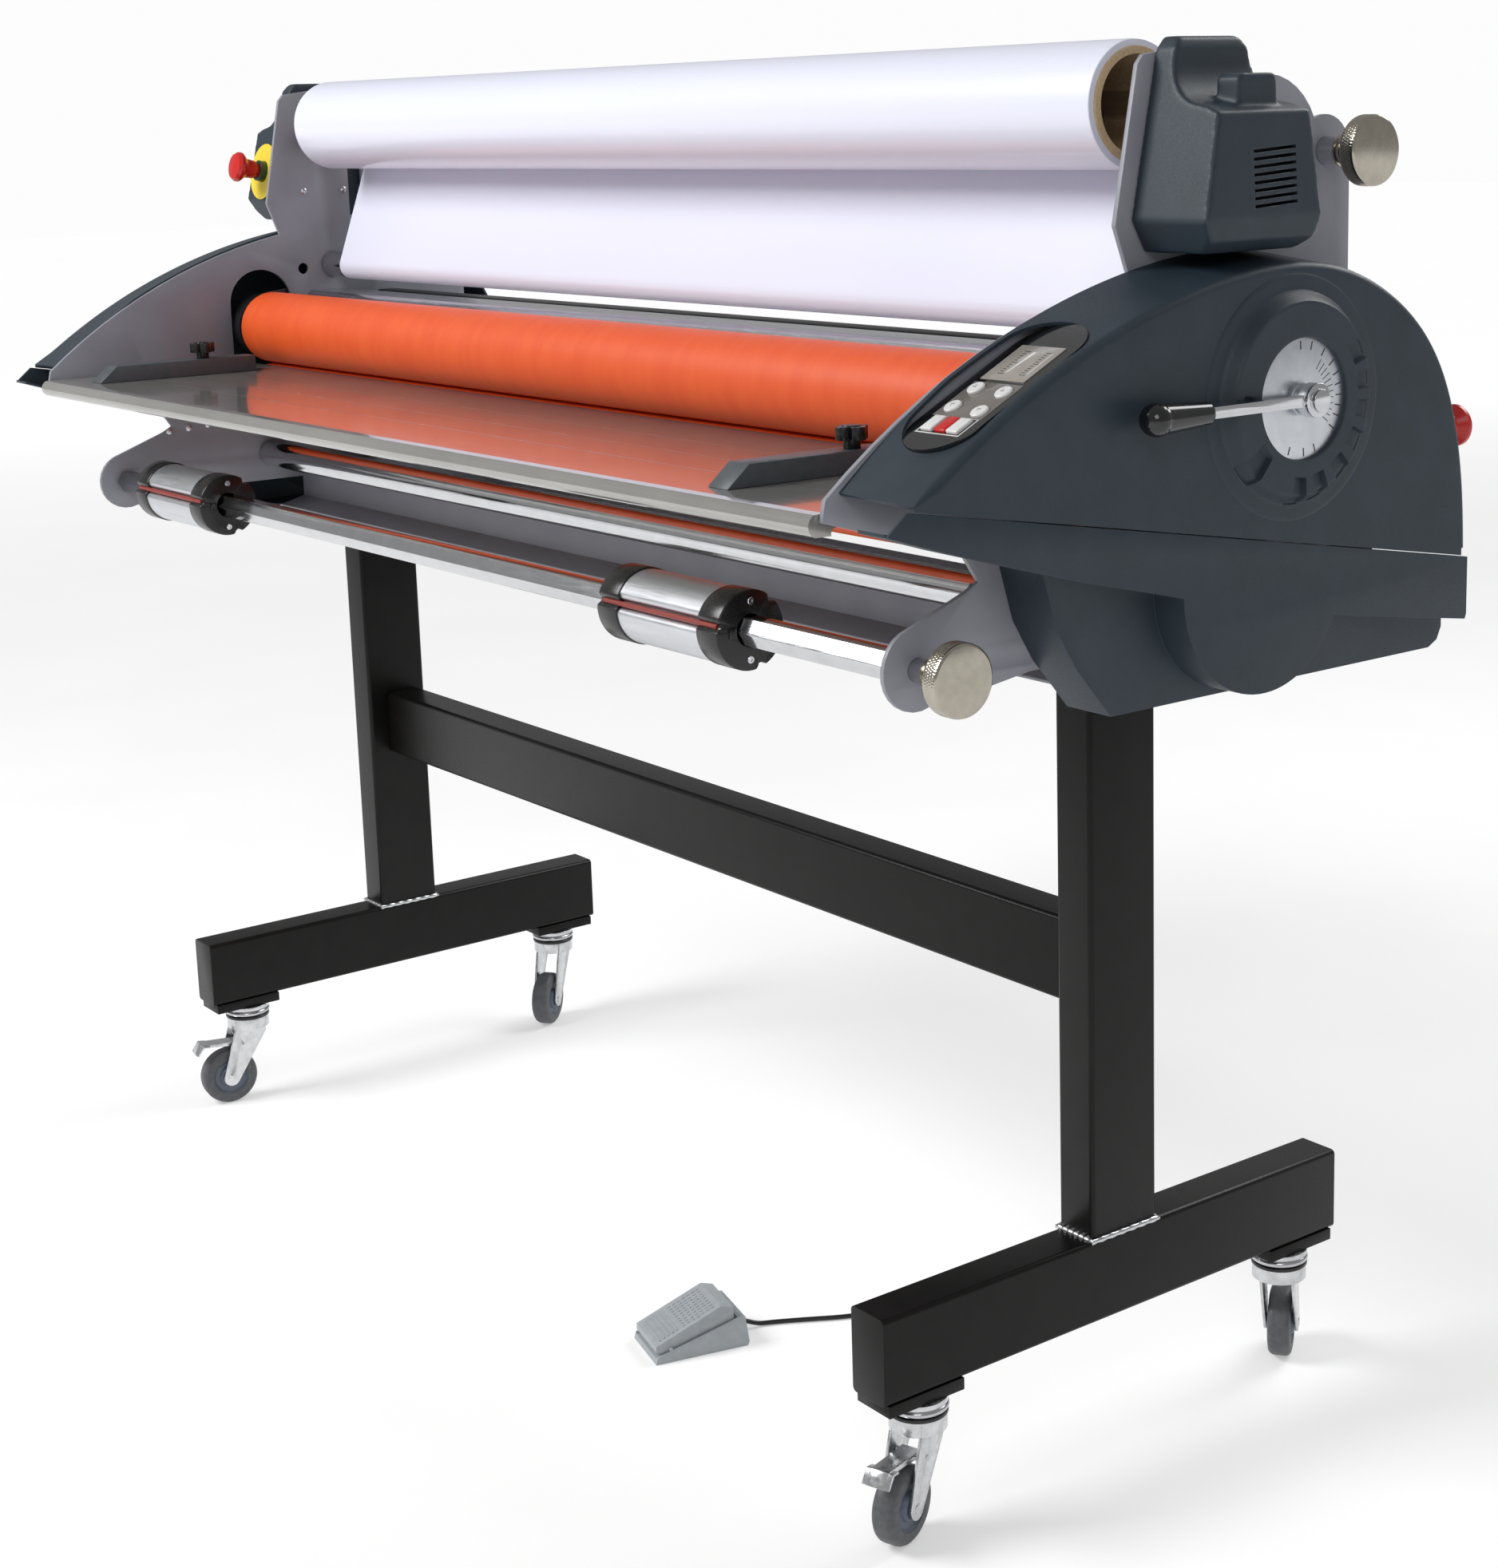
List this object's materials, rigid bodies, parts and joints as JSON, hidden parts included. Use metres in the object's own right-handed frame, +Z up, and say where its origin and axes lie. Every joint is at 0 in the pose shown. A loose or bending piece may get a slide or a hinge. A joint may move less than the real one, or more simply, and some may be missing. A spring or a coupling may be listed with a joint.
{
  "type": "cold roll laminator",
  "caption": "Wide-format cold roll laminator on a castered stand, with a lever-lifted rubber nip, film supply, take-up shaft and foot switch.",
  "frame": {"origin": "on the floor, midway between the stand's two legs", "axes": "+X along the rollers to the end with the controls, -Y the operator's side, +Z up"},
  "size_m": [1.8875, 0.7863, 1.3693],
  "materials": {
    "stand_black": "satin powder coat",
    "frame_grey": "powder coat",
    "table_steel": "polished sheet",
    "cover_plastic": "fine moulded texture",
    "turned_steel": "turned",
    "roller_rubber": "ground silicone",
    "cast_iron": "machined",
    "zinc_plate": "bright zinc plate",
    "black_plastic": "moulded",
    "bare_aluminium": "turned",
    "film": "clear film on white liner",
    "core_board": "wound board",
    "panel_gloss": "gloss overlay",
    "key_white": "satin",
    "button_red": "gloss",
    "collar_green": "moulded",
    "guide_grey": "satin",
    "pedal_grey": "textured",
    "cord_black": "PVC jacket",
    "motor_grey": "satin",
    "tyre_grey": "polyurethane"
  },
  "bodies": {
    "machine": {"stand_feet": "stand_black", "stand_uprights": "stand_black", "stand_crossbar": "stand_black", "left_side_plate": "frame_grey", "right_side_plate": "frame_grey", "feed_tables": "table_steel", "cross_members": "frame_grey", "left_side_cover": "cover_plastic", "right_side_cover": "cover_plastic", "left_lower_cover": "cover_plastic", "right_lower_cover": "cover_plastic", "left_head_cover": "cover_plastic", "right_head_cover": "cover_plastic", "lower_bearings": "cast_iron", "film_web": "film", "control_panel": "panel_gloss", "stop_bases": "collar_green", "pedal_base": "pedal_grey", "pedal_cord": "cord_black", "rear_sockets": "black_plastic", "gearmotor": "motor_grey"},
    "fork_front_left": {"caster_fork_front_left": "zinc_plate"},
    "wheel_front_left": {"caster_wheel_front_left": "tyre_grey"},
    "brake_left": {"caster_brake_left": "zinc_plate"},
    "fork_front_right": {"caster_fork_front_right": "zinc_plate"},
    "wheel_front_right": {"caster_wheel_front_right": "tyre_grey"},
    "brake_right": {"caster_brake_right": "zinc_plate"},
    "fork_rear_left": {"caster_fork_rear_left": "zinc_plate"},
    "wheel_rear_left": {"caster_wheel_rear_left": "tyre_grey"},
    "fork_rear_right": {"caster_fork_rear_right": "zinc_plate"},
    "wheel_rear_right": {"caster_wheel_rear_right": "tyre_grey"},
    "lever": {"pressure_lever": "zinc_plate", "lever_grip": "black_plastic"},
    "upper_carriage": {"roller_carriages": "cast_iron"},
    "lower_roller": {"lower_roller": "roller_rubber"},
    "upper_roller": {"upper_roller_core": "turned_steel", "upper_roller_sleeve": "roller_rubber"},
    "drive_gear": {"drive_gear": "turned_steel"},
    "front_idler": {"front_idler": "bare_aluminium"},
    "rear_idler": {"rear_idler": "bare_aluminium"},
    "supply": {"supply_shaft": "turned_steel", "film_roll": "film"},
    "rewind": {"rewind_shaft": "core_board"},
    "takeup": {"takeup_shaft": "turned_steel"},
    "left_chuck": {"left_chuck": "bare_aluminium"},
    "right_chuck": {"right_chuck": "bare_aluminium"},
    "key_speed_up": {"key_speed_up": "key_white"},
    "key_speed_down": {"key_speed_down": "key_white"},
    "key_mode_up": {"key_mode_up": "key_white"},
    "key_mode_down": {"key_mode_down": "key_white"},
    "key_forward": {"key_forward": "key_white"},
    "key_stop": {"key_stop": "button_red"},
    "key_reverse": {"key_reverse": "key_white"},
    "left_stop_button": {"left_stop_button": "button_red"},
    "right_stop_button": {"right_stop_button": "button_red"},
    "left_guide": {"left_guide": "guide_grey"},
    "left_guide_knob": {"left_guide_knob": "black_plastic"},
    "right_guide": {"right_guide": "guide_grey"},
    "right_guide_knob": {"right_guide_knob": "black_plastic"},
    "treadle": {"pedal_treadle": "pedal_grey"}
  },
  "joints": [
    {"name": "swivel_front_left", "type": "hinge", "parent": "machine", "child": "fork_front_left", "pos_m": [-0.725, -0.245, 0.1], "axis": [0, 0, 1], "continuous": true},
    {"name": "roll_front_left", "type": "hinge", "parent": "fork_front_left", "child": "wheel_front_left", "pos_m": [-0.73001, -0.27661, 0.0375], "axis": [0.9877, -0.1564, 0], "continuous": true},
    {"name": "brake_press_left", "type": "hinge", "parent": "fork_front_left", "child": "brake_left", "pos_m": [-0.72719, -0.25883, 0.081], "axis": [0.9877, -0.1564, 0], "range_deg": [0, 12]},
    {"name": "swivel_front_right", "type": "hinge", "parent": "machine", "child": "fork_front_right", "pos_m": [0.725, -0.245, 0.1], "axis": [0, 0, 1], "continuous": true},
    {"name": "roll_front_right", "type": "hinge", "parent": "fork_front_right", "child": "wheel_front_right", "pos_m": [0.73542, -0.27526, 0.0375], "axis": [0.9455, 0.3256, 0], "continuous": true},
    {"name": "brake_press_right", "type": "hinge", "parent": "fork_front_right", "child": "brake_right", "pos_m": [0.72956, -0.25824, 0.081], "axis": [0.9455, 0.3256, 0], "range_deg": [0, 12]},
    {"name": "swivel_rear_left", "type": "hinge", "parent": "machine", "child": "fork_rear_left", "pos_m": [-0.725, 0.245, 0.1], "axis": [0, 0, 1], "continuous": true},
    {"name": "roll_rear_left", "type": "hinge", "parent": "fork_rear_left", "child": "wheel_rear_left", "pos_m": [-0.70574, 0.21944, 0.0375], "axis": [0.7986, 0.6018, 0], "continuous": true},
    {"name": "swivel_rear_right", "type": "hinge", "parent": "machine", "child": "fork_rear_right", "pos_m": [0.725, 0.245, 0.1], "axis": [0, 0, 1], "continuous": true},
    {"name": "roll_rear_right", "type": "hinge", "parent": "fork_rear_right", "child": "wheel_rear_right", "pos_m": [0.70574, 0.27056, 0.0375], "axis": [-0.7986, -0.6018, 0], "continuous": true},
    {"name": "lever_turn", "type": "hinge", "parent": "machine", "child": "lever", "pos_m": [0, 0.037, 1.058], "axis": [-1, 0, 0], "range_deg": [0, 100]},
    {"name": "carriage_lift", "type": "slide", "parent": "machine", "child": "upper_carriage", "axis": [0, 0, 1], "range_m": [0, 0.028]},
    {"name": "lower_roller_spin", "type": "hinge", "parent": "machine", "child": "lower_roller", "pos_m": [0, -0.104, 0.95175], "axis": [1, 0, 0], "continuous": true},
    {"name": "upper_roller_spin", "type": "hinge", "parent": "upper_carriage", "child": "upper_roller", "pos_m": [0, -0.104, 1.04625], "axis": [1, 0, 0], "continuous": true},
    {"name": "drive_gear_spin", "type": "hinge", "parent": "machine", "child": "drive_gear", "pos_m": [0, 0.0025, 0.89224], "axis": [1, 0, 0], "continuous": true},
    {"name": "front_idler_spin", "type": "hinge", "parent": "machine", "child": "front_idler", "pos_m": [0, -0.105, 0.871], "axis": [1, 0, 0], "continuous": true},
    {"name": "rear_idler_spin", "type": "hinge", "parent": "machine", "child": "rear_idler", "pos_m": [0, 0.007, 1.124], "axis": [1, 0, 0], "continuous": true},
    {"name": "supply_spin", "type": "hinge", "parent": "machine", "child": "supply", "pos_m": [0, -0.006, 1.312], "axis": [1, 0, 0], "continuous": true},
    {"name": "rewind_spin", "type": "hinge", "parent": "machine", "child": "rewind", "pos_m": [0, 0.178, 1.266], "axis": [1, 0, 0], "continuous": true},
    {"name": "takeup_spin", "type": "hinge", "parent": "machine", "child": "takeup", "pos_m": [0, -0.315, 0.855], "axis": [1, 0, 0], "continuous": true},
    {"name": "left_chuck_slide", "type": "slide", "parent": "takeup", "child": "left_chuck", "axis": [1, 0, 0], "range_m": [-0.1, 0.45]},
    {"name": "right_chuck_slide", "type": "slide", "parent": "takeup", "child": "right_chuck", "axis": [1, 0, 0], "range_m": [-0.4, 0.2]},
    {"name": "key_speed_up_press", "type": "slide", "parent": "machine", "child": "key_speed_up", "axis": [0, 0.4509, -0.8926], "range_m": [0, 0.0012], "stiffness_N_per_m": 400, "springref_m": -0.002},
    {"name": "key_speed_down_press", "type": "slide", "parent": "machine", "child": "key_speed_down", "axis": [0, 0.4509, -0.8926], "range_m": [0, 0.0012], "stiffness_N_per_m": 400, "springref_m": -0.002},
    {"name": "key_mode_up_press", "type": "slide", "parent": "machine", "child": "key_mode_up", "axis": [0, 0.4509, -0.8926], "range_m": [0, 0.0012], "stiffness_N_per_m": 400, "springref_m": -0.002},
    {"name": "key_mode_down_press", "type": "slide", "parent": "machine", "child": "key_mode_down", "axis": [0, 0.4509, -0.8926], "range_m": [0, 0.0012], "stiffness_N_per_m": 400, "springref_m": -0.002},
    {"name": "key_forward_press", "type": "slide", "parent": "machine", "child": "key_forward", "axis": [0, 0.4509, -0.8926], "range_m": [0, 0.0012], "stiffness_N_per_m": 400, "springref_m": -0.002},
    {"name": "key_stop_press", "type": "slide", "parent": "machine", "child": "key_stop", "axis": [0, 0.4509, -0.8926], "range_m": [0, 0.0012], "stiffness_N_per_m": 400, "springref_m": -0.002},
    {"name": "key_reverse_press", "type": "slide", "parent": "machine", "child": "key_reverse", "axis": [0, 0.4509, -0.8926], "range_m": [0, 0.0012], "stiffness_N_per_m": 400, "springref_m": -0.002},
    {"name": "left_stop_button_press", "type": "slide", "parent": "machine", "child": "left_stop_button", "axis": [0, 0.9796, -0.2011], "range_m": [0, 0.005], "stiffness_N_per_m": 800, "springref_m": -0.003},
    {"name": "right_stop_button_press", "type": "slide", "parent": "machine", "child": "right_stop_button", "axis": [0, -1, 0], "range_m": [0, 0.005], "stiffness_N_per_m": 800, "springref_m": -0.003},
    {"name": "left_guide_slide", "type": "slide", "parent": "machine", "child": "left_guide", "axis": [1, 0, 0], "range_m": [-0.05, 0.6]},
    {"name": "left_guide_knob_turn", "type": "hinge", "parent": "left_guide", "child": "left_guide_knob", "pos_m": [-0.735, -0.235, 1.02], "axis": [0, 0, 1], "range_deg": [0, 270]},
    {"name": "right_guide_slide", "type": "slide", "parent": "machine", "child": "right_guide", "axis": [1, 0, 0], "range_m": [-0.55, 0.13]},
    {"name": "right_guide_knob_turn", "type": "hinge", "parent": "right_guide", "child": "right_guide_knob", "pos_m": [0.648, -0.235, 1.02], "axis": [0, 0, 1], "range_deg": [0, 270]},
    {"name": "treadle_press", "type": "hinge", "parent": "machine", "child": "treadle", "pos_m": [0.26677, -0.23299, 0.014], "axis": [-0.9703, 0.2419, 0], "range_deg": [0, 4], "stiffness_Nm_per_rad": 3, "springref_deg": -2.86}
  ],
  "couplings": [
    {"joint": "lever_turn", "follows": "carriage_lift", "rad_per_m": 62.333},
    {"joint": "upper_roller_spin", "follows": "lower_roller_spin", "ratio": -1},
    {"joint": "drive_gear_spin", "follows": "lower_roller_spin", "ratio": -0.525}
  ]
}
